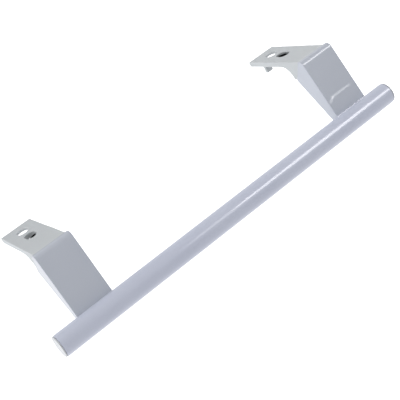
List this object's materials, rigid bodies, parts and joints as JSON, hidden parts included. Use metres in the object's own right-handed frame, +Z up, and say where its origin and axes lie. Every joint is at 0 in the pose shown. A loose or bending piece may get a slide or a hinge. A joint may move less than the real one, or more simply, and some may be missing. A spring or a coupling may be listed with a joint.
{
  "type": "refrigerator door handle",
  "caption": "Round bar handle on bent brackets that screw to the side edge of a refrigerator door, with the painted legs seated on the bar.",
  "frame": {"origin": "on the door's side edge (the plane that the mounting plates seat on), half way between the two fixing holes", "axes": "+Z up along the grip, +X outward from the door's side edge, -Y from the door's front face towards the user"},
  "size_m": [0.0785, 0.1293, 0.3955],
  "materials": {
    "white_paint": "gloss white paint on steel tube",
    "white_cap": "gloss white plastic",
    "white_cover": "gloss white paint on plastic",
    "light_grey_plastic": "satin light grey plastic",
    "black_plastic": "matte black plastic",
    "zinc_steel": "zinc-plated steel"
  },
  "bodies": {
    "root": {"grip_tube": "white_paint", "end_cap_upper": "white_cap", "end_cap_lower": "white_cap", "leg_cover_upper": "white_cover", "leg_cover_lower": "white_cover", "bracket_core_upper": "light_grey_plastic", "bracket_core_lower": "light_grey_plastic", "locating_plug_upper": "black_plastic", "locating_plug_lower": "black_plastic", "tube_insert_upper": "zinc_steel", "tube_insert_lower": "zinc_steel", "tube_screw_upper": "zinc_steel", "tube_screw_lower": "zinc_steel", "cover_screw_upper": "zinc_steel", "cover_screw_lower": "zinc_steel"}
  },
  "joints": []
}
